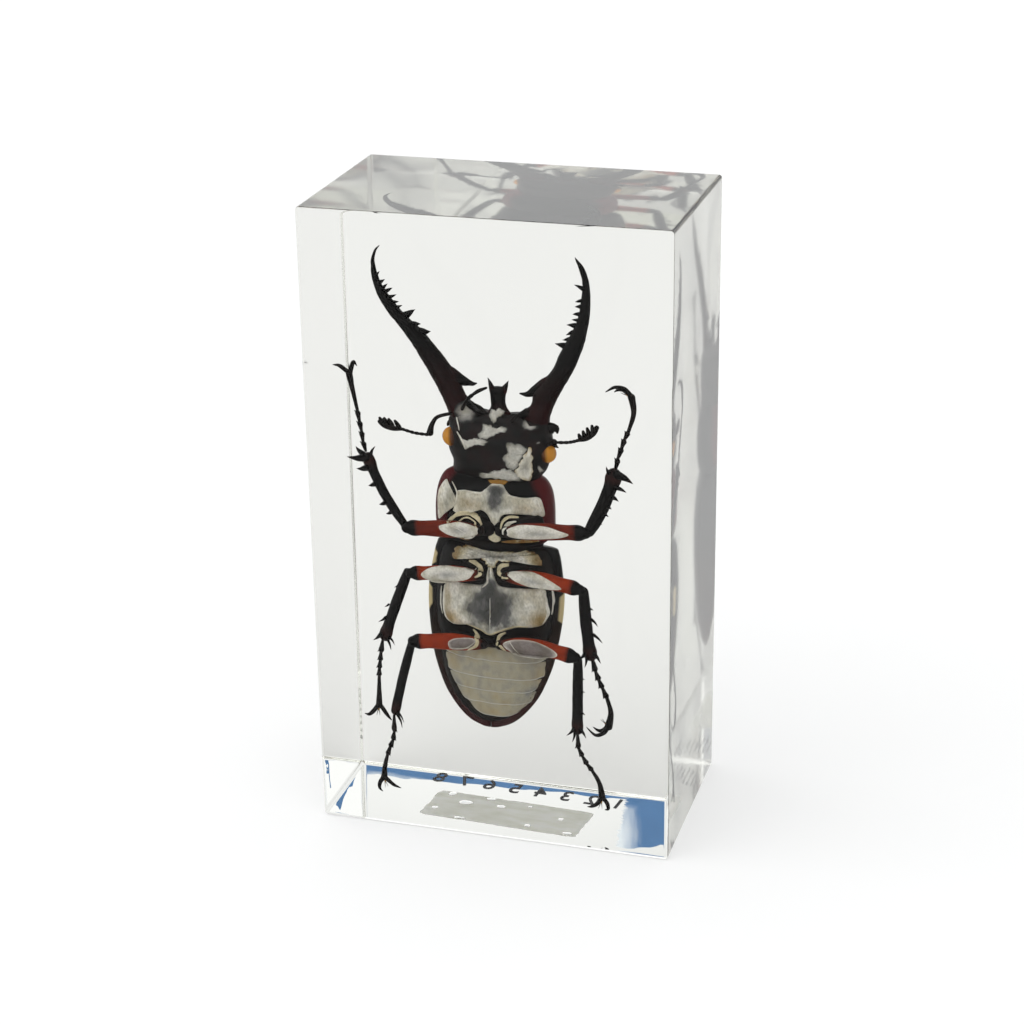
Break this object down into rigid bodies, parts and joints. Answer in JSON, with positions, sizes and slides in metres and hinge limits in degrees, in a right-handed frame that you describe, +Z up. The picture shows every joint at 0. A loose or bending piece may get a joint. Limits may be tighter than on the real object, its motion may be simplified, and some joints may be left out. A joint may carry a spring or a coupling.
{
  "type": "insect in resin block",
  "caption": "Upright clear cast resin block with rounded edges, holding a long-jawed stag beetle seen from below, with a small blank label under its base.",
  "frame": {"origin": "middle of the base, on the surface that the block stands on", "axes": "+Z up along the block's height and the insect's body towards its jaws; +X across the block; -Y out of the front face, towards which the insect's underside looks"},
  "size_m": [0.062, 0.036, 0.1101],
  "materials": {
    "clear_resin": "clear cast resin, polished, see-through",
    "label_stock": "thin label stock with trapped air, matte",
    "dark_cuticle": "black-brown insect cuticle, finely grained, satin, under resin",
    "red_cuticle": "red-brown insect cuticle, satin, under resin",
    "pale_cuticle": "pale beige underside plates with silvery trapped air",
    "wing_case": "black-brown wing cases with an ochre strip along parts of the edge"
  },
  "bodies": {
    "root": {"resin_block": "clear_resin", "base_label": "label_stock"}
  },
  "joints": []
}
